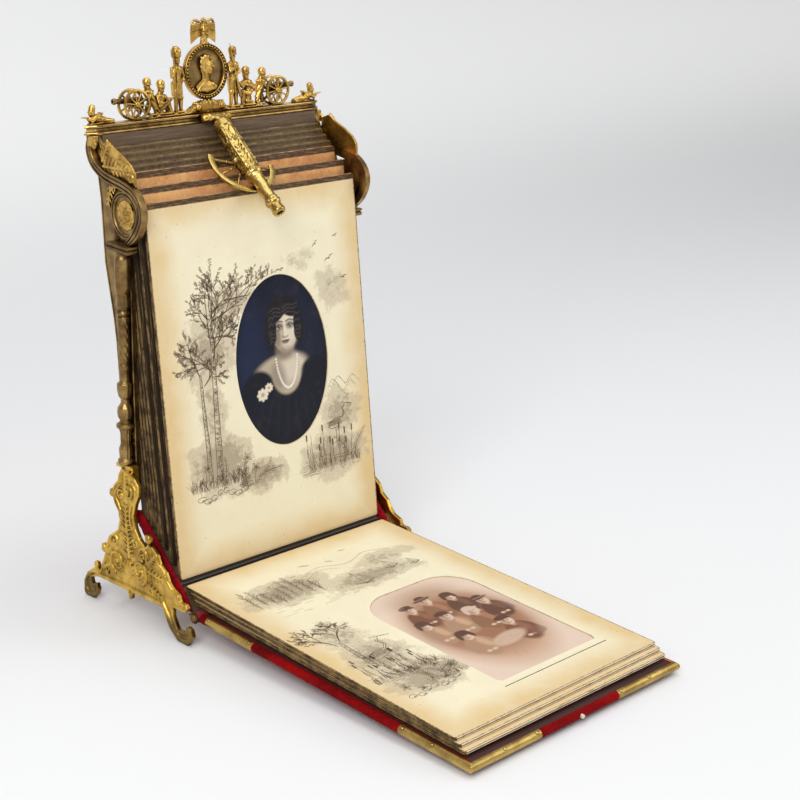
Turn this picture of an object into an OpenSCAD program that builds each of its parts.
// Easel photo album: ten board leaves and two velvet covers on a gilt cast stand.
// The album stands open: seven leaves upright against the back cover, and three
// leaves lying on the front cover, which is folded down in front of the stand.
// X runs across the page, -Y points to the reader and Z is up. All sizes are in mm.

/* [Leaves] */
// Width of a leaf
leaf_w = 212; // [176:1:256]
// Length of a leaf from its hinge to its fore-edge
leaf_l = 299; // [248:1:360]
// Thickness of a leaf
leaf_t = 2.5; // [2.2:0.05:3]
// Radius of a leaf's corners
leaf_corner = 2; // [1:0.5:6]
// Thickness of the window mat on each face of a leaf
mat_t = 0.55; // [0.4:0.05:0.6]
// Depth of the pocket behind each mat
pocket_t = 0.5; // [0.45:0.01:0.6]
// Gap between a leaf's end and the line that it turns on
leaf_end_gap = 0.5; // [0.3:0.1:0.9]

/* [Leaf spacing] */
// Step between the three lying leaves along each of Y and Z
open_pitch = 4.5; // [4:0.1:6]
// Step between the first three upright leaves, which have fanned apart
fan_pitch = 10.6; // [6:0.1:13]
// Step between the leaves that stand close together
stack_pitch = 4.6; // [4.2:0.1:6]
// Step back from the top lying leaf to the first upright leaf
gutter_dy = 4.9; // [4.5:0.1:7]
// Step up from the top lying leaf to the first upright leaf
gutter_dz = 3.2; // [2:0.1:5]
// Backward lean of the first upright leaf, in degrees
lean_front = 4.7; // [3:0.1:8]
// Backward lean of the back cover, in degrees
lean_back = 5.2; // [3.2:0.1:9]

/* [Windows and cards] */
// Width of a cabinet card
card_w = 108; // [90:1:130]
// Length of a cabinet card
card_l = 165; // [137:1:180]
// Thickness of a card
card_t = 0.4; // [0.3:0.05:0.45]
// Clearance round a card in its pocket
card_gap = 0.5; // [0.3:0.1:1]
// Centre of the oval window to the right of the page's centre line
oval_x = 15; // [0:1:22]
// Centre of the arched window to the right of the page's centre line
window_x = 25; // [0:1:28]
// Distance of the arched window's card slot from the fore-edge
slot_margin = 26; // [16:1:40]
// Width of the oval window
oval_w = 95; // [60:1:100]
// Height of the oval window
oval_l = 141; // [90:1:150]
// Centre of the oval window from the hinge line
oval_u = 156; // [120:1:190]
// Width of the arched window
window_w = 103; // [60:1:106]
// Length of the arched window
window_l = 153; // [90:1:160]
// Radius of the arched window's two upper corners
window_r = 30; // [10:1:45]
// Width of the slot that a card goes in by
slot_t = 0.8; // [0.6:0.1:1.5]

/* [Covers and spine] */
// How much longer the front cover is than a leaf, each from its own hinge line
front_over = 0.2; // [-3:0.1:2]
// How far the front cover stands out past the leaves at each side
cover_square = 4.3; // [2:0.1:8]
// Thickness of a cover's board
board_t = 4; // [3.3:0.1:5]
// Thickness of the padded velvet on a cover
velvet_t = 2; // [1.5:0.1:2.6]
// Thickness of the lining inside the front cover
lining_t = 0.6; // [0.4:0.1:1]
// Width of the rolled edge round the front cover
bead_w = 3.8; // [2.5:0.1:4.2]
// Length of a brass corner along each edge
corner_leg = 70; // [40:1:90]
// Length of a brass strip at the spine end
end_strip = 58; // [30:1:70]
// Distance from the hinge line to the front cover's nearer end
cover_start = 5; // [4.6:0.1:8]
// Gap between the front cover's fore-edge and the floor
floor_gap = 2.6; // [0.6:0.1:4]
// Hinge line of the front cover in front of the first upright leaf's
cover_dy = 22.9; // [20:0.1:27]
// Hinge line of the front cover below the first upright leaf's
cover_dz = 22.4; // [21:0.1:26]
// Height of the back cover above the leaves in front of it
back_square = 9.4; // [5:0.1:14]
// Distance from the upright leaves' hinge lines to the spine's inner face
spine_gap = 2.8; // [2.6:0.1:3.4]
// Height of the catch stud on the fore-edge
stud_h = 2.2; // [1.5:0.1:3]
// Radius of the catch stud
stud_r = 1.6; // [1:0.1:1.8]
// Radius of a foot under the front cover
foot_r = 5; // [3:0.5:7]
// Radius of a nail head
nail_r = 1.5; // [1:0.1:2]

/* [Stand] */
// Thickness of a foot casting
casting_t = 5; // [4:0.5:7]
// Gap between a leaf's side and the side board
side_gap = 0.8; // [0.5:0.1:2]
// Thickness of a side board
side_t = 3.2; // [2.5:0.1:5]
// Depth of the block that joins a side board to its foot casting
block_t = 6.5; // [5:0.5:9]
// Height of the column's foot above the floor
column_z = 130; // [126:1:140]
// Thickness of a scroll bracket
bracket_t = 5.5; // [4:0.5:7]
// Width of the scroll's ribbon
ribbon_w = 7.6; // [5:0.2:9]
// Thickness of the plate that carries the spine
cradle_t = 3; // [2:0.5:5]
// Radius of the rear cross bar
rear_bar_r = 4; // [3:0.5:6]
// Radius of a rivet
rivet_r = 2; // [1.5:0.1:2.5]

/* [Crest] */
// How far the crest bar reaches past each side board
bar_over = 8; // [6:0.5:10]
// Depth of the crest bar
bar_d = 16; // [14:1:20]
// Height of the crest bar
bar_h = 7.5; // [6:0.5:10]
// Width of the medallion's frame
frame_w = 42.6; // [40:0.2:46]
// Height of the medallion's frame
frame_h = 44.8; // [42:0.2:48]
// Width of the band of the medallion's frame
frame_band = 4.3; // [3:0.1:6]
// Radius of a cannon's wheel
wheel_r = 12.3; // [10:0.1:13]
// Distance of the cannon wheels from the centre
wheel_x = 70.6; // [68:0.1:76]

/* [Latch] */
// Length of the cannon-shaped latch from its pin
latch_l = 104; // [98:1:108]
// Slope of the latch at rest, in degrees below level
latch_slope = 42; // [40:0.5:44]
// Radius of the hinge pin
pin_r = 1.5; // [1.2:0.1:2]
// Running clearance round the pin
pin_fit = 0.06; // [0.03:0.01:0.1]
// Radius of the hinge knuckles
knuckle_r = 3.6; // [3.2:0.1:4]
// Half the width of the latch's own knuckle
knuckle_half = 8; // [6:0.5:10]
// Radius of the latch's carriage wheel
latch_wheel_r = 29; // [22:0.5:30]
// Distance of the wheel's centre from the pin
latch_wheel_t = 46; // [44:1:50]

/* [Hidden] */
$fn = 48;

// Leaves 1 to 3 lie on the front cover and leaves 4 to 10 stand.
first_upright = 4;
leaf_count = 10;
hinge_y = 8.4;
hinge_z = 42;
big = 600;
touch = 0.05;

// How far leaf n's hinge line is from leaf 4's, along each of Y and Z
function stack_s(n) = n <= first_upright ? 0
    : n <= first_upright + 2 ? (n - first_upright) * fan_pitch
    : 2 * fan_pitch + (n - first_upright - 2) * stack_pitch;
function leaf_y(n) = n >= first_upright ? hinge_y + stack_s(n)
    : hinge_y - gutter_dy - (first_upright - 1 - n) * open_pitch;
function leaf_z(n) = n >= first_upright ? hinge_z + stack_s(n)
    : hinge_z - gutter_dz - (first_upright - 1 - n) * open_pitch;
function lean(n) = lean_front + (lean_back - lean_front) * stack_s(n) / stack_s(leaf_count);

slot_u = leaf_l - slot_margin;
front_l = leaf_l + front_over;

// The front cover: its layers lie at these distances from its hinge line
cover_y = hinge_y - cover_dy;
cover_z = hinge_z - cover_dz;
lining_face = -(board_t / 2 + 0.6 + lining_t);
bead_rise = 0.8;
board_in = lining_face + lining_t;
board_out = board_in + board_t;
velvet_face = board_out + velvet_t;
cover_slope = asin((cover_z - velvet_face - floor_gap) / front_l);
cover_half = leaf_w / 2 + cover_square;
rim_half = cover_half - bead_w;
rim_u = front_l - bead_w;

// A lying leaf's slope brings its fore-edge down onto the leaf or cover below it
leaf_rest = 0.3;
tip_u = cover_y - (leaf_y(1) - leaf_l);
function tip_z(n) = cover_z - tip_u * sin(cover_slope) - lining_face + leaf_t / 2 + leaf_rest
    + (n - 1) * (leaf_t + leaf_rest + open_pitch * 0.08);
function lie(n) = asin((leaf_z(n) - tip_z(n)) / leaf_l);

// The spine lies on the 45 degree line of the hinges
spine_a = 45;
spine_low = -25.5;
spine_board_t = board_t - 0.6;
spine_out = spine_gap + spine_board_t + velvet_t;
spine_half = leaf_w / 2 + 2;

// The back cover stands behind leaf 10
back_gap = 1.7;
back_y = leaf_y(leaf_count) + leaf_t / 2 + back_gap;
back_z = leaf_z(leaf_count) + 3;
back_half = leaf_w / 2 + side_gap;
spine_high = (back_y - hinge_y + board_t + velvet_t + 1.8) / cos(spine_a) - spine_gap;
bar_z = leaf_z(leaf_count) + leaf_l * cos(lean_back) + back_square;
back_top_y = back_y + (bar_z - back_z) * tan(lean_back);

// The stand's layers outwards from the leaves
side_in = leaf_w / 2 + side_gap;
side_out = side_in + side_t;
casting_in = side_out + block_t;
casting_out = casting_in + casting_t;
bracket_in = side_out + touch;
column_x = side_out + 4.6;

// Crest
bar_y = back_top_y + 1.3;
crest_y = bar_y + bar_d / 2;
bar_top = bar_z + bar_h;
bar_half = side_out + bar_over;
ground_h = 2.4;
ground_z = bar_top + ground_h;
frame_z = bar_top + 10.4 + frame_h / 2;

// Latch
pin_y = bar_y - 4.5;
pin_z = bar_z + 4.2;
ear_t = 4.5;
ear_gap = 0.4;

// The footprint of the whole object, for the origin
rear_foot_y = 130;
stud_w = (velvet_face + lining_face - bead_rise) / 2;
front_edge_y = cover_y - (front_l + stud_h) * cos(cover_slope) + stud_w * sin(cover_slope);
shift_y = -(rear_foot_y + front_edge_y) / 2;

gold = "#c9a227";
bronze = "#6b5222";
velvet = "#a01018";
paper = "#f3e8c8";

// Places a piece so that the origin is under the middle of the footprint
module placed() { translate([0, shift_y, 0]) children(); }

// A box given by its two corners
module block(a, b) { translate(a) cube(b - a); }

// Draws a Y-Z outline as a plate between two distances along X
module plate(x0, x1) { translate([x0, 0, 0]) rotate([90, 0, 90]) linear_extrude(x1 - x0) children(); }

// Draws a piece of the right side, and its mirror image on the left
module on_side(side) { mirror([side < 0 ? 1 : 0, 0, 0]) children(); }

// A frame whose Y axis leaves the line (y, z) at angle a from the +Y direction
module turned(y, z, a) { translate([0, y, z]) rotate([a, 0, 0]) children(); }

module at_leaf(n) {
    turned(leaf_y(n), leaf_z(n), n < first_upright ? 180 + lie(n) : 90 - lean(n)) children();
}
module at_cover() { turned(cover_y, cover_z, 180 + cover_slope) children(); }
module at_back() { turned(back_y, back_z, 90 - lean_back) children(); }
module at_spine() { turned(hinge_y, hinge_z, spine_a) children(); }
module at_latch() { turned(pin_y, pin_z, 180 + latch_slope) children(); }

// An ellipse as an even polygon
module oval(w, h, sides = 40) {
    polygon([for (i = [0:sides - 1]) [w / 2 * cos(i * 360 / sides), h / 2 * sin(i * 360 / sides)]]);
}

// A band of one width along a smooth curve through the given points
function curve_point(p, i, t) =
    let (a = p[max(i - 1, 0)], b = p[i], c = p[i + 1], d = p[min(i + 2, len(p) - 1)])
    0.5 * (2 * b + (c - a) * t + (2 * a - 5 * b + 4 * c - d) * t * t + (3 * b - a - 3 * c + d) * t * t * t);
function smooth(p, n) = concat([for (i = [0:len(p) - 2]) for (k = [0:n - 1]) curve_point(p, i, k / n)],
    [p[len(p) - 1]]);
function normal(p, i) =
    let (d = p[min(i + 1, len(p) - 1)] - p[max(i - 1, 0)], l = norm(d)) [-d[1] / l, d[0] / l];
module ribbon(points, w0, w1, n = 4) {
    p = smooth(points, n);
    last = len(p) - 1;
    half = [for (i = [0:last]) (w0 + (w1 - w0) * i / last) / 2];
    polygon(concat([for (i = [0:last]) p[i] + normal(p, i) * half[i]],
        [for (i = [last:-1:0]) p[i] - normal(p, i) * half[i]]));
}

// A plain round bar between two points
module rod(a, b, r0, r1) {
    d = b - a;
    l = norm(d);
    translate(a) rotate([0, acos(d[2] / l), atan2(d[1], d[0])]) cylinder(h = l, r1 = r0, r2 = r1);
}

// The recto side of a leaf is w = +leaf_t / 2, the verso side is w = -leaf_t / 2
function card_u(recto) = recto ? oval_u - card_l / 2 - card_gap : slot_u - card_l - 2 * card_gap;
function card_x(recto) = recto ? oval_x : window_x;
divider = leaf_t / 2 - mat_t - pocket_t;

module pocket(recto) {
    half = card_w / 2 + card_gap;
    u = card_u(recto);
    l = card_l + 2 * card_gap;
    block([card_x(recto) - half, u, divider], [card_x(recto) + half, u + l, divider + pocket_t]);
    block([card_x(recto) - half, u + l - slot_t, divider], [card_x(recto) + half, u + l, leaf_t]);
}

module oval_window() {
    translate([oval_x, oval_u, divider]) linear_extrude(leaf_t) oval(oval_w, oval_l, 64);
}

module arched_window() {
    u0 = card_u(false) + 5;
    translate([window_x, u0, divider]) linear_extrude(leaf_t) union() {
        translate([-window_w / 2, window_r]) square([window_w, window_l - window_r]);
        translate([-window_w / 2 + window_r, 0]) square([window_w - 2 * window_r, window_l]);
        for (s = [-1, 1]) translate([s * (window_w / 2 - window_r), window_r]) circle(window_r);
    }
}

module leaf(n) {
    color(paper) placed() at_leaf(n) difference() {
        translate([0, 0, -leaf_t / 2]) linear_extrude(leaf_t) union() {
            translate([-leaf_w / 2, leaf_end_gap]) square([leaf_w, leaf_l - leaf_end_gap - leaf_corner]);
            translate([-leaf_w / 2 + leaf_corner, leaf_end_gap])
                square([leaf_w - 2 * leaf_corner, leaf_l - leaf_end_gap]);
            for (s = [-1, 1]) translate([s * (leaf_w / 2 - leaf_corner), leaf_l - leaf_corner])
                circle(leaf_corner);
        }
        pocket(true);
        oval_window();
        mirror([0, 0, 1]) pocket(false);
        mirror([0, 0, 1]) arched_window();
    }
}

module card(n, recto) {
    color(bronze) placed() at_leaf(n) mirror([0, 0, recto ? 0 : 1])
        block([card_x(recto) - card_w / 2, card_u(recto), divider],
            [card_x(recto) + card_w / 2, card_u(recto) + card_l, divider + card_t]);
}

module leaf_01() { leaf(1); }
module leaf_02() { leaf(2); }
module leaf_03() { leaf(3); }
module leaf_04() { leaf(4); }
module leaf_05() { leaf(5); }
module leaf_06() { leaf(6); }
module leaf_07() { leaf(7); }
module leaf_08() { leaf(8); }
module leaf_09() { leaf(9); }
module leaf_10() { leaf(10); }
module portrait_card() { card(4, true); }
module group_card() { card(3, false); }

// The rolled edge of the front cover is a D shape that stands past the board
rim_top = lining_face - bead_rise;
rim_mid = (rim_top + velvet_face) / 2;
rim_rise = (velvet_face - rim_top) / 2;
rim_shape = [for (a = [90:-10:-90]) [bead_w * cos(a), rim_mid + rim_rise * sin(a)]];
strip_start = cover_start + 7;
stretch_start = strip_start + end_strip;
corner_u = front_l - corner_leg;
corner_x = cover_half - corner_leg;

module rim_side(u0, u1) {
    translate([0, u1, 0]) rotate([90, 0, 0]) linear_extrude(u1 - u0)
        polygon([for (q = rim_shape) q + [rim_half, 0]]);
}
module rim_front(x0, x1) { plate(x0, x1) polygon([for (q = rim_shape) q + [rim_u, 0]]); }

// Nails stand in the rolled edge: two on each corner and two on each strip
nail_places = [[rim_half + bead_w / 2, corner_u + 4], [corner_x + 4, rim_u + bead_w / 2],
    [rim_half + bead_w / 2, strip_start + 4], [rim_half + bead_w / 2, stretch_start - 4]];

module nail_shank() {
    translate([0, 0, rim_mid - rim_rise + 0.5]) cylinder(h = rim_rise - 0.5, r = nail_r);
}

module stud_shape() {
    translate([0, front_l - 1.2, rim_mid]) rotate([-90, 0, 0]) rotate_extrude()
        polygon([[0, 0], [stud_r, 0], [stud_r, stud_h], [stud_r * 0.8, stud_h + 0.8], [0, stud_h + 1.2]]);
}

module front_board() {
    color(bronze) placed() at_cover()
        block([-rim_half, cover_start, board_in], [rim_half, rim_u, board_out]);
}

module front_lining() {
    color(paper) placed() at_cover()
        block([-rim_half, cover_start, lining_face], [rim_half, rim_u, board_in]);
}

module front_velvet() {
    color(velvet) placed() at_cover() difference() {
        union() {
            block([-rim_half, cover_start, board_out], [rim_half, rim_u, velvet_face]);
            for (s = [-1, 1]) on_side(s) {
                rim_side(cover_start, strip_start);
                rim_side(stretch_start, corner_u);
            }
            rim_front(-corner_x, corner_x);
        }
        stud_shape();
    }
}

module cover_brass() {
    color(gold) placed() at_cover() for (s = [-1, 1]) on_side(s) difference() {
        union() {
            rim_side(strip_start, stretch_start);
            rim_side(corner_u, rim_u);
            rim_front(corner_x, rim_half);
            intersection() {
                rim_side(rim_u - 1, front_l + 1);
                rim_front(rim_half - 1, cover_half + 1);
            }
        }
        for (q = nail_places) translate([q[0], q[1], 0]) nail_shank();
    }
}

module cover_nails() {
    color(gold) placed() at_cover() for (s = [-1, 1]) on_side(s)
        for (q = nail_places) translate([q[0], q[1], 0]) nail_shank();
}

// Two studs under the fore-edge hold the velvet off the table
module cover_feet() {
    color(gold) placed() for (s = [-1, 1]) on_side(s) difference() {
        translate([rim_half - 12, cover_y - front_l + 18, 0.1])
            cylinder(h = 12, r1 = foot_r - 0.8, r2 = foot_r + 0.6);
        at_cover() block([0, 0, velvet_face - 40], [big, big, velvet_face]);
    }
}

module catch_stud() { color(paper) placed() at_cover() stud_shape(); }

// The back cover stands on the spine's inner face and carries the crest bar
module back_layer(w0, w1) {
    l = (bar_z - back_z) / cos(lean_back);
    plate(-back_half, back_half) difference() {
        translate([back_y, back_z]) rotate(90 - lean_back)
            polygon([[-20, -w1], [l + w1 * tan(lean_back), -w1],
                [l + w0 * tan(lean_back), -w0], [-20, -w0]]);
        translate([hinge_y, hinge_z]) rotate(spine_a)
            translate([-big, -spine_gap - big]) square([2 * big, big]);
    }
}
module back_board() { color(bronze) placed() back_layer(0, board_t); }
module back_velvet() { color(velvet) placed() back_layer(board_t, board_t + velvet_t); }

module spine_board() {
    color(bronze) placed() at_spine() block([-spine_half + velvet_t, spine_low, -spine_gap - spine_board_t],
        [spine_half - velvet_t, spine_high, -spine_gap]);
}

module spine_velvet() {
    color(velvet) placed() at_spine() difference() {
        block([-spine_half, spine_low, -spine_out], [spine_half, spine_high + velvet_t, -spine_gap]);
        block([-spine_half + velvet_t, spine_low - 1, -spine_gap - spine_board_t],
            [spine_half - velvet_t, spine_high, -spine_gap + 1]);
    }
}

// Each leaf's cloth hinge rises from the spine to the line that the leaf turns on
function along(n) = (leaf_y(n) - hinge_y + leaf_z(n) - hinge_z) * cos(spine_a);
function above(n) = (leaf_z(n) - hinge_z - leaf_y(n) + hinge_y) * cos(spine_a);
module leaf_hinge_cloths() {
    color("#161313") placed() at_spine() {
        for (n = [1:leaf_count]) block([3 - leaf_w / 2, along(n) - 0.25, -spine_gap],
            [leaf_w / 2 - 3, along(n) + 0.25, above(n) - 0.15]);
        // A strip of the same cloth fills the gutter between the two open pages
        block([1 - leaf_w / 2, along(3) / 2 - 0.5, -spine_gap], [leaf_w / 2 - 1, along(3) / 2 + 0.4, 0.9]);
    }
}

// The front cover's cloth hinge: a roll on the hinge line and a web to the spine
roll_r = cover_start - 0.6;
roll_half = cover_half - 0.3;
function spine_end(w) = [hinge_y, hinge_z] + [spine_low - w, spine_low + w] * cos(spine_a);
module cover_hinge_cloth() {
    mid = -spine_gap - spine_board_t / 2;
    roll = [for (a = [18:9:342]) [cover_y + roll_r * cos(a), cover_z + roll_r * sin(a)]];
    color(velvet) placed() plate(-roll_half, roll_half)
        polygon(concat([spine_end(mid + 1)], roll, [spine_end(mid - 1)]));
}

module spine_end_knobs() {
    color(bronze) placed() for (s = [-1, 1]) on_side(s) translate([roll_half, cover_y, cover_z])
        rotate([0, 90, 0]) {
            cylinder(h = 1.4, r = roll_r);
            translate([0, 0, 1.4]) cylinder(h = 2, r1 = roll_r - 0.8, r2 = roll_r - 2.4);
        }
}

// The foot castings, drawn in Y and Z
casting_edge = [[61, 128], [66, 122], [68, 116], [75, 110], [77, 102], [75, 95], [70, 89], [69, 82],
    [72, 73], [86, 64], [91, 56], [93, 48], [99, 37], [103, 29], [112, 29], [123, 22], [129, 13],
    [rear_foot_y, 3], [127, 0], [116, 0], [110, 5], [108, 10], [110, 15], [117, 13], [118, 18],
    [110, 21], [104, 22], [63, 22], [60, 16.5], [57, 22], [15, 23], [7, 8], [-4, 0], [-17, 0], [-24, 9],
    [-22, 15], [-18, 16], [-13, 10], [-4, 10], [1, 19], [1, 27], [-15, 27], [-19, 31], [-16, 34],
    [-9, 34], [-7, 39], [1, 42], [6, 47], [9, 53], [16, 58], [19, 65], [26, 70], [31, 71], [35, 67],
    [42, 72], [47, 80], [49, 89], [45, 100], [40, 108], [39, 117], [44, 122], [52, 125]];
casting_bosses = [[31, 75, 4.5], [109, 31.5, 4], [96, 50.5, 4.4], [78.6, 102.6, 4], [-18, 12.5, 4],
    [60, 18, 2.5], [53, 113, 6], [84, 48, 7], [40, 55, 8]];
// Raised leaf shapes on the outer face
casting_scrolls = [
    [[0, 12], [9, 20.5], [24, 25], [44, 25], [30, 30], [14, 29], [4, 24]],
    [[104, 25.5], [94, 34], [89, 46], [80, 51], [84, 40], [76, 32], [88, 27]],
    [[60, 122], [67, 109], [61, 93], [62, 78], [72, 69], [60, 64], [54, 80], [55, 96]],
    [[44, 101], [52, 88], [48, 74], [36, 64], [22, 58], [34, 70], [43, 82]]];
block_low = 106;

module casting_outline() {
    difference() {
        union() {
            polygon(casting_edge);
            for (b = casting_bosses) translate([b[0], b[1]]) oval(2 * b[2], 2 * b[2], 22);
        }
        translate([-40, -20]) square([220, 20]);
    }
}

module foot_casting() {
    color(gold) placed() {
        plate(casting_in, casting_out - 1.4) casting_outline();
        for (b = casting_bosses) plate(casting_in + 1, casting_out) translate([b[0], b[1]])
            oval(2 * b[2] - 1.3, 2 * b[2] - 1.3, 22);
        for (c = casting_scrolls) plate(casting_in + 1, casting_out - 0.5) polygon(c);
        block([side_out, 51, block_low], [casting_in + 1, 67, column_z - 1.2]);
        block([side_out, 52, column_z - 3.4], [casting_in + 2.2, 71.5, column_z]);
    }
}
module foot_casting_left() { on_side(-1) foot_casting(); }
module foot_casting_right() { foot_casting(); }

// The upper stand hangs from the crest bar: dy and dz move it with the bar
dy = bar_y - 79.9;
dz = bar_z - 388.8;

module side_board() {
    color(bronze) placed() plate(side_in, side_out) polygon(concat(
        [[55, block_low], [68, block_low], [71, 150], [73 + dy / 2, 228 + dz / 2]],
        [for (q = [[75, 248], [82, 290], [82.5, 340], [86, 372], [90, 388.8], [81, 388.8],
            [70, 366], [56, 352], [50, 340], [47, 318], [46, 290]]) q + [dy, dz]],
        [[50 + dy / 2, 220 + dz / 2]]));
}
module side_board_left() { on_side(-1) side_board(); }
module side_board_right() { side_board(); }

side_oval = [45.5 + dy, 331 + dz];
scroll_line = [for (q = [[85, 387], [88.5, 378], [84, 368.5], [73, 361], [60, 357], [46, 354], [33, 349.5],
    [25, 341.5], [23.5, 332], [28, 322.5], [35, 315], [42, 309]]) q + [dy, dz]];
leaf_edge = [for (q = [[74, 383], [65, 388], [57, 382], [46, 377], [36, 371], [30, 364], [30, 352],
    [44, 355], [66, 360], [76, 372]]) q + [dy, dz]];

module scroll_bracket() {
    color(bronze) placed() difference() {
        union() {
            plate(bracket_in, bracket_in + bracket_t) union() {
                ribbon(scroll_line, ribbon_w, ribbon_w + 1, 4);
                translate([80 + dy, 382.5 + dz]) circle(4.6);
                polygon([for (q = [[80, 388.77], [90, 388.77], [91, 380], [82, 382]]) q + [dy, dz]]);
            }
            plate(bracket_in, bracket_in + bracket_t - 2) polygon(leaf_edge);
        }
        plate(bracket_in - 1, bracket_in + bracket_t + 1) translate(side_oval) oval(36, 37);
        translate([0, 0, bar_z]) cube([big, big, 40]);
        column_cap(0.02);
    }
}
module scroll_bracket_left() { on_side(-1) scroll_bracket(); }
module scroll_bracket_right() { scroll_bracket(); }

module side_medallion() {
    color(gold) placed() {
        plate(bracket_in, bracket_in + 2) translate(side_oval) oval(36, 37);
        plate(bracket_in + 1.9, bracket_in + 4) difference() {
            translate(side_oval) oval(36, 37);
            translate(side_oval) oval(29, 30);
        }
        plate(bracket_in + 1.9, bracket_in + 3.4) translate(side_oval) oval(20, 22);
        translate([bracket_in + 3.3, side_oval[0], side_oval[1]]) rotate([0, 90, 0])
            cylinder(h = 2.2, r1 = 5, r2 = 3);
    }
}
module side_medallion_left() { on_side(-1) side_medallion(); }
module side_medallion_right() { side_medallion(); }

// The column stands between its casting and the bracket, and leans like the covers
column_top = [50 + dy, 304 + dz];
column_foot = [62.2, column_z];
column_l = norm(column_top - column_foot);
column_lean = atan2(column_foot[0] - column_top[0], column_top[1] - column_foot[1]);
turning = [[0, 0], [6.6, 0], [6.6, 4], [5, 5], [5.4, 13], [4.1, 17], [4.2, 26], [5.4, 30], [7.4, 31],
    [7.4, 33.5], [4.6, 35], [4.6, 37], [5.9, 40], [6.2, 43.5], [5.9, 47], [3.6, 51], [3.4, 54],
    [5.2, 57], [6, 67], [3.9, 69], [3.9, 77], [4.8, 79], [4.8, 82], [3.9, 84], [4.8, 86], [4.8, 121],
    [3.9, 122], [5.6, 125], [4.3, 127], [5.9, 131], [4.6, 140], [5.6, 142], [6.4, 145], [6.4, 168],
    [5.2, 170], [5.2, 174], [0, 174]];

module at_column() {
    translate([column_x, column_foot[0], column_foot[1]]) rotate([column_lean, 0, 0]) children();
}
module column_cap(grow) {
    at_column() block([side_out - column_x + touch - grow, -14 - grow, column_l - 1.5 - grow],
        [5.2 + grow, 15 + grow, column_l + 5 + grow]);
}
module column() {
    color(bronze) placed() {
        intersection() {
            at_column() rotate_extrude() polygon([for (q = turning) [q[0], q[1] * column_l / 174]]);
            block([bracket_in, 0, column_z], [big, big, big]);
        }
        column_cap(0);
    }
}
module column_left() { on_side(-1) column(); }
module column_right() { column(); }

module spine_cradle() {
    color(bronze) placed() at_spine()
        block([-casting_in, 2, -spine_out - cradle_t], [casting_in, 44, -spine_out]);
}

rear_bar = [92, 31];
module rear_cross_bar() {
    color(bronze) placed() translate([-casting_in, rear_bar[0], rear_bar[1]]) rotate([0, 90, 0])
        cylinder(h = 2 * casting_in, r = rear_bar_r);
}

module frame_rivets() {
    color(gold) placed() for (s = [-1, 1]) on_side(s)
        for (q = [rear_bar, [53, 113], [40, 55]]) translate([casting_out, q[0], q[1]]) rotate([0, 90, 0])
            cylinder(h = 1.2, r1 = rivet_r, r2 = rivet_r * 0.6);
}

// Crest: a moulded bar that carries the ground, the medallion and the soldiers
module bar_layer(z0, z1, inset) {
    translate([0, crest_y, z0]) linear_extrude(z1 - z0) polygon([for (s = [-1, 1]) for (q = [
        [s * (bar_half - inset), 0], [s * (bar_half - 9), -s * (bar_d / 2 - inset)],
        [-s * (bar_half - 9), -s * (bar_d / 2 - inset)]]) q]);
}
module crest_bar() {
    color(gold) placed() difference() {
        union() {
            bar_layer(bar_z, bar_z + 2.1, 0);
            bar_layer(bar_z + 2, bar_top - 1.9, 1.2);
            bar_layer(bar_top - 2, bar_top, 0.2);
        }
        translate([0, pin_y, pin_z]) rotate([0, 90, 0])
            cylinder(h = 2 * knuckle_half + 2 * ear_gap, r = knuckle_r + 0.6, center = true);
    }
}

ground_top = [[-58, 0.8], [-52, 2.4], [-20, 2.4], [-15, 6], [-9, 10.4], [-5, 12.5], [5, 12.5], [9, 10.4],
    [15, 6], [20, 2.4], [52, 2.4], [58, 0.8]];
module crest_ground() {
    color(gold) placed() difference() {
        translate([0, crest_y + 4.5, bar_top]) rotate([90, 0, 0]) linear_extrude(9)
            polygon(concat([[-60, 0]], ground_top, [[60, 0]]));
        translate([0, crest_y + 9, frame_z]) rotate([90, 0, 0])
            linear_extrude(18) oval(frame_w, frame_h, 64);
    }
}

module upright_oval(w, h, y0, y1, sides) {
    translate([0, crest_y + y1, frame_z]) rotate([90, 0, 0]) linear_extrude(y1 - y0) oval(w, h, sides);
}
module medallion_frame() {
    color(gold) placed() difference() {
        union() {
            upright_oval(frame_w, frame_h, -2.4, 2.2, 64);
            for (i = [0:23]) translate([(frame_w - frame_band) / 2 * cos(15 * i), crest_y - 2.3,
                frame_z + (frame_h - frame_band) / 2 * sin(15 * i)]) sphere(1.2);
        }
        upright_oval(frame_w - 2 * frame_band, frame_h - 2 * frame_band, -9, 9, 64);
    }
}
module medallion_bust() {
    color(gold) placed() union() {
        upright_oval(frame_w - 2 * frame_band, frame_h - 2 * frame_band, -0.2, 1.8, 64);
        intersection() {
            upright_oval(frame_w - 2 * frame_band, frame_h - 2 * frame_band, -7, 1, 64);
            translate([0, crest_y, frame_z]) union() {
                rod([0, -1.2, -17], [0, -1.8, -5], 9.5, 5.5);
                rod([-6, -1, -9], [6, -1, -9], 3.4, 3.4);
                rod([0, -2, -6], [0, -2.4, 1], 2.2, 2.2);
                translate([0, -2.4, 1.6]) sphere(4.4);
                rod([-8, -1.8, 5], [8, -1.8, 5], 1.5, 1.5);
                rod([0, -1.8, 5], [0, -1.8, 9], 4.4, 3.6);
            }
        }
    }
}

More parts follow.
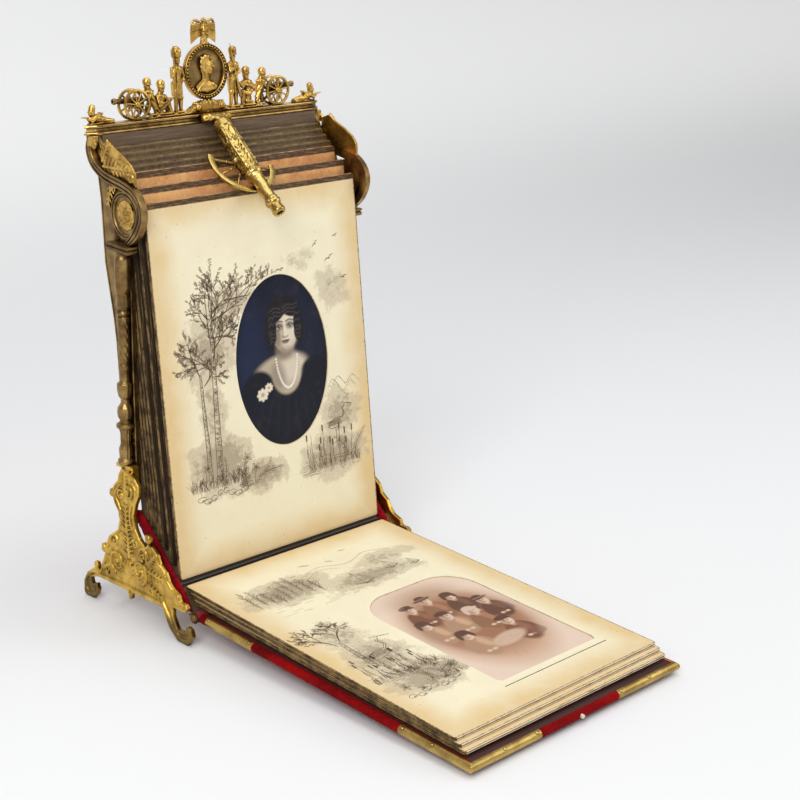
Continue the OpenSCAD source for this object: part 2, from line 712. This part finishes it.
eagle_z = frame_z + frame_h / 2 - 0.6;
wing = [[1.5, 3], [5, 2.5], [9, 6], [12, 11], [12.2, 17.5], [9.5, 16], [8.5, 19], [6.2, 15.5], [4.5, 16],
    [3.2, 12], [1.5, 11]];
module eagle_finial() {
    color(gold) placed() difference() {
        translate([0, crest_y, eagle_z]) union() {
            for (s = [-1, 1]) on_side(s) translate([0, 1.4, 0]) rotate([90, 0, 0]) linear_extrude(2.4)
                polygon(wing);
            rod([0, 0, 0], [0, 0, 5], 3.2, 2.2);
            rod([0, 0, 4], [0, -0.6, 13], 3, 3.2);
            rod([0, -0.6, 12], [0, -1, 18], 2.8, 1.8);
            translate([0, -1.2, 19.2]) sphere(2.4);
            rod([0, -1.5, 19.2], [-4, -2.6, 18], 1.2, 0.3);
        }
        upright_oval(frame_w, frame_h, -9, 9, 64);
    }
}

// Cannons: a barrel on a two-wheeled carriage, drawn for the right side
axle_z = bar_top + wheel_r;
axle_r = 1.3;
barrel_z = axle_z + 3.1;
module cannon_wheel() {
    color(gold) placed() translate([wheel_x, crest_y, axle_z]) rotate([90, 0, 0]) {
        for (y = [-5.6, 3.6]) translate([0, 0, y]) {
            difference() {
                cylinder(h = 2, r = wheel_r);
                translate([0, 0, -1]) cylinder(h = 4, r = wheel_r - 2);
            }
            cylinder(h = 2, r = 2.4);
            for (i = [0:9]) rotate(36 * i + 9) translate([1.5, -0.6, 0.4]) cube([wheel_r - 3, 1.2, 1.2]);
        }
        translate([0, 0, -5]) cylinder(h = 10, r = axle_r);
    }
}
module cannon_wheel_left() { on_side(-1) cannon_wheel(); }
module cannon_wheel_right() { cannon_wheel(); }

barrel_line = [[0, 0], [1.2, 0], [1.6, 1.4], [0.9, 2.4], [3.1, 3.4], [3.1, 5.4], [2.8, 6], [2.6, 14],
    [2.9, 14.5], [2.9, 16], [2.3, 16.6], [1.9, 27], [2.6, 28.5], [2.2, 30.4], [1.1, 30.5], [1.1, 26],
    [0, 26]];
module cannon() {
    color(gold) placed() difference() {
        translate([wheel_x, crest_y, 0]) union() {
            translate([-10.5, 0, barrel_z - 0.4]) rotate([0, 88, 0]) rotate_extrude() polygon(barrel_line);
            translate([-3.4, -2.9, axle_z - 2]) cube([7.4, 5.8, 3.6]);
            rod([-10.6, 0, ground_z + 3.6], [0, 0, axle_z], 1.2, 1.7);
        }
        translate([wheel_x, crest_y + 9, axle_z]) rotate([90, 0, 0]) cylinder(h = 18, r = axle_r);
    }
}
module cannon_left() { on_side(-1) cannon(); }
module cannon_right() { cannon(); }

// Soldiers: rods [from, to, radius, radius] and balls [centre, radius] above a foot plate
module figure(x, rods, balls, foot) {
    color(gold) placed() translate([x, crest_y, ground_z]) scale(1.08) union() {
        block([foot[0], -3.4, 0], [foot[1], 3.4, 1.3]);
        for (r = rods) rod(r[0], r[1], r[2], r[3]);
        for (b = balls) translate(b[0]) sphere(b[1]);
    }
}

module soldier_standing_left() {
    figure(-28.4, [[[-1.9, 0, 1], [-1.4, 0, 20], 1.6, 2.4], [[2, 0.4, 1], [1.4, 0, 20], 1.6, 2.4],
        [[0, 0.1, 18], [0.2, 0, 33], 3.1, 3.9], [[0.1, 0.1, 32], [0, -0.4, 38.6], 3, 1.8],
        [[0, -0.2, 41.3], [0.1, 0, 48], 2.9, 3.3],
        [[-3.3, 0.1, 31.7], [-5.4, -2, 25], 1.55, 1.3], [[-5.2, -1.7, 24.6], [-3.9, -2.9, 31.3], 1.25, 1.1],
        [[3.3, 0.2, 31.8], [5, -1.4, 24], 1.5, 1.3], [[-4.2, -3.1, 3], [-3.9, -3, 50], 0.9, 0.5]],
        [[[0, -0.4, 40], 2.7]], [-4.5, 4.5]);
}
module soldier_standing_right() {
    figure(26.8, [[[-1.9, 0, 1], [-0.6, 0, 20], 1.6, 2.4], [[2.6, 0, 1], [1, 0, 20], 1.6, 2.4],
        [[0, 0.1, 18], [0.8, 0, 33], 3.1, 3.9], [[0.7, 0.1, 32], [0.6, -0.4, 38.6], 3, 1.8],
        [[0.6, -0.1, 41.7], [0.8, 0, 46], 3, 2.6],
        [[-2.4, 0.1, 31.8], [-3.4, -3.1, 27], 1.55, 1.2], [[4.1, 0.2, 31.7], [4.4, -2.8, 26], 1.5, 1.3],
        [[4.6, -2.6, 26.2], [-0.4, -3.4, 24], 1.25, 1.1], [[4.6, -3.8, 8], [-4.6, -3.6, 48], 0.9, 0.5]],
        [[[0.6, -0.4, 40.5], 2.7]], [-4.5, 4.5]);
}
module soldier_seated() {
    figure(-43.6, [[[-3.2, 0, 3.2], [3.4, 0, 4.5], 2.5, 3], [[3, 0.1, 4.2], [6.1, 0.1, 9], 2.2, 1.75],
        [[5.7, -0.1, 9.3], [7, 0, 1], 1.6, 1.4],
        [[-2.4, 0.1, 3.2], [-1.6, 0, 14], 3.2, 3.35], [[-1.5, 0.1, 13], [-0.6, -0.3, 17.3], 2.4, 1.5],
        [[-0.6, -0.3, 20], [-1.2, 0, 24], 2.6, 2.4], [[0.6, -1.6, 13], [5, -2.4, 10], 1.3, 1.1],
        [[-5.4, -2.8, 6.6], [8.6, -2.8, 12], 0.9, 0.5]], [[[-0.6, -0.3, 18.6], 2.4]], [-5.5, 8]);
}
module soldier_kneeling() {
    figure(41, [[[5, 0, 1.9], [0.4, 0, 2.4], 1.6, 2], [[0.4, 0, 2], [1.6, 0, 10], 2.2, 2.6],
        [[1.4, 0, 9], [-4.6, 0, 10.4], 2.4, 2], [[-4.6, 0, 10.4], [-4.8, 0, 1], 1.9, 1.5],
        [[1.4, 0, 9], [0, 0, 18], 2.9, 3.4], [[0, 0, 17], [-0.4, -0.4, 20.4], 2.6, 1.5],
        [[-0.4, -0.4, 23.4], [-0.2, 0, 27.4], 2.7, 2.5], [[-2.6, -1.6, 17], [-6, -2.6, 15], 1.4, 1.1],
        [[4, -2.8, 13.5], [-10, -2.8, 18.5], 0.9, 0.5]], [[[-0.4, -0.4, 22], 2.5]], [-6.2, 6.4]);
}
module gunner() {
    rods = [[[-4.6, 0, 1], [-2.4, 0, 10], 1.5, 2.1], [[1.8, 0, 1], [-1.4, 0, 10], 1.5, 2.1],
        [[-2.2, 0, 9], [0.6, 0, 17], 2.8, 3.2], [[0.6, 0, 16], [1.6, -0.3, 19.6], 2.4, 1.4],
        [[1.6, -0.3, 21.6], [1, 0, 25.4], 2.6, 2.4], [[1.4, -1.2, 16], [2.2, -2, 12.4], 1.3, 1],
        [[-0.6, 1.8, 16], [-4, 2.6, 11], 1.3, 1]];
    figure(56.2, rods, [[[1.8, -0.3, 20.4], 2.4]], [-6, 1.6]);
}
module gunner_left() { on_side(-1) gunner(); }
module gunner_right() { gunner(); }

module soldier_prone() {
    color(gold) placed() translate([0, 0, -ground_h]) union() {
        translate([0, crest_y, ground_z]) block([bar_half - 27.5, -3, 0], [bar_half - 7, 3, 1.6]);
        translate([bar_half - 27, crest_y, ground_z]) {
            rod([0.8, -1, 2.2], [9, -0.4, 3], 1.2, 2.2);
            rod([0.8, 1.4, 2.2], [9, 0.6, 3], 1.2, 2.2);
            rod([8, 0, 3], [16.5, 0, 5.4], 2.4, 2.9);
            rod([15.5, 0, 5.4], [18, 0, 8], 2.2, 1.5);
            translate([18, -0.2, 8.8]) sphere(2.4);
            rod([18, 0, 9.6], [17.4, 0, 13.4], 2.6, 2.3);
            rod([10.5, 0, 6.4], [14.5, 0, 7.6], 2, 2);
            rod([16, -2, 5], [21, -2.4, 2.2], 1.2, 1);
            rod([12, -2.6, 5.4], [28.5, -2.2, 6.6], 0.9, 0.5);
        }
    }
}
module soldier_prone_left() { on_side(-1) soldier_prone(); }
module soldier_prone_right() { soldier_prone(); }

// The latch turns on a pin between two ears on the front of the crest bar
module latch_ears() {
    color(gold) placed() difference() {
        for (s = [-1, 1]) on_side(s) translate([knuckle_half + ear_gap, 0, 0]) {
            translate([0, pin_y, pin_z]) rotate([0, 90, 0]) cylinder(h = ear_t, r = knuckle_r);
            block([0, pin_y, bar_z], [ear_t, bar_y, pin_z + knuckle_r]);
        }
        translate([-big / 2, pin_y, pin_z]) rotate([0, 90, 0]) cylinder(h = big, r = pin_r);
        translate([-big / 2, bar_y, bar_z - 20]) cube([big, 40, 60]);
    }
}

pin_half = knuckle_half + ear_gap + ear_t + 0.8;
module latch_pin() {
    color(bronze) placed() translate([-pin_half, pin_y, pin_z]) rotate([0, 90, 0])
        cylinder(h = 2 * pin_half, r = pin_r);
}

gun_line = [[0, 2], [3.4, 2], [4, 5], [7.6, 7], [7.8, 9], [7.8, 13], [7, 14.5], [6.9, 26], [7.5, 27],
    [7.5, 30], [6.8, 31], [6.3, 58], [7.1, 59.5], [7.1, 62.5], [6, 64], [5, 88], [5.9, 89.5], [6.1, 94],
    [5, 95.5], [4.9, 98], [5.6, 101], [4.6, 104], [0, 104]];
module gun() {
    rotate([-90, 0, 0]) rotate_extrude() polygon([for (q = gun_line) [q[0], q[1] * latch_l / 104]]);
}

module latch_cannon() {
    color(gold) placed() at_latch() difference() {
        union() {
            gun();
            rotate([0, 90, 0]) cylinder(h = 2 * knuckle_half, r = knuckle_r, center = true);
            for (s = [-1, 1]) on_side(s) {
                translate([2, latch_l * 0.5, -3.6]) rotate([90, 0, 0]) cylinder(h = 16, r = 2.4);
                translate([4, latch_wheel_t, 0]) rotate([0, 90, 0]) cylinder(h = 5.4, r = 2.4);
            }
        }
        translate([0, latch_l - 13, 0]) rotate([-90, 0, 0]) cylinder(h = 20, r = 2.4);
        translate([-20, 0, 0]) rotate([0, 90, 0]) cylinder(h = 40, r = pin_r + pin_fit);
    }
}

// The carriage wheel lies flat under the barrel; part of its rim is open
module latch_wheel() {
    inner = latch_wheel_r - 4.4;
    color(gold) placed() at_latch() difference() {
        translate([0, latch_wheel_t, 5]) {
            linear_extrude(2.4) union() {
                polygon(concat([for (a = [12:6.5:210]) latch_wheel_r * [cos(a), sin(a)]],
                    [for (a = [207:-6.5:12]) inner * [cos(a), sin(a)]]));
                for (a = [20, 52, 90, 128, 164, 200]) rotate(a) translate([2, -1.1])
                    square([inner - 1, 2.2]);
            }
            cylinder(h = 2.8, r = 7);
        }
        translate([0, 0, 0.05]) gun();
    }
}

foot_casting_left();
foot_casting_right();
side_board_left();
side_board_right();
column_left();
column_right();
scroll_bracket_left();
scroll_bracket_right();
side_medallion_left();
side_medallion_right();
rear_cross_bar();
spine_cradle();
frame_rivets();
crest_bar();
crest_ground();
medallion_frame();
medallion_bust();
eagle_finial();
cannon_left();
cannon_right();
cannon_wheel_left();
cannon_wheel_right();
soldier_standing_left();
soldier_standing_right();
soldier_seated();
soldier_kneeling();
gunner_left();
gunner_right();
soldier_prone_left();
soldier_prone_right();
latch_ears();
latch_pin();
latch_cannon();
latch_wheel();
back_board();
back_velvet();
spine_board();
spine_velvet();
spine_end_knobs();
leaf_hinge_cloths();
cover_hinge_cloth();
front_board();
front_velvet();
front_lining();
cover_brass();
cover_nails();
cover_feet();
catch_stud();
leaf_01();
leaf_02();
leaf_03();
leaf_04();
leaf_05();
leaf_06();
leaf_07();
leaf_08();
leaf_09();
leaf_10();
portrait_card();
group_card();
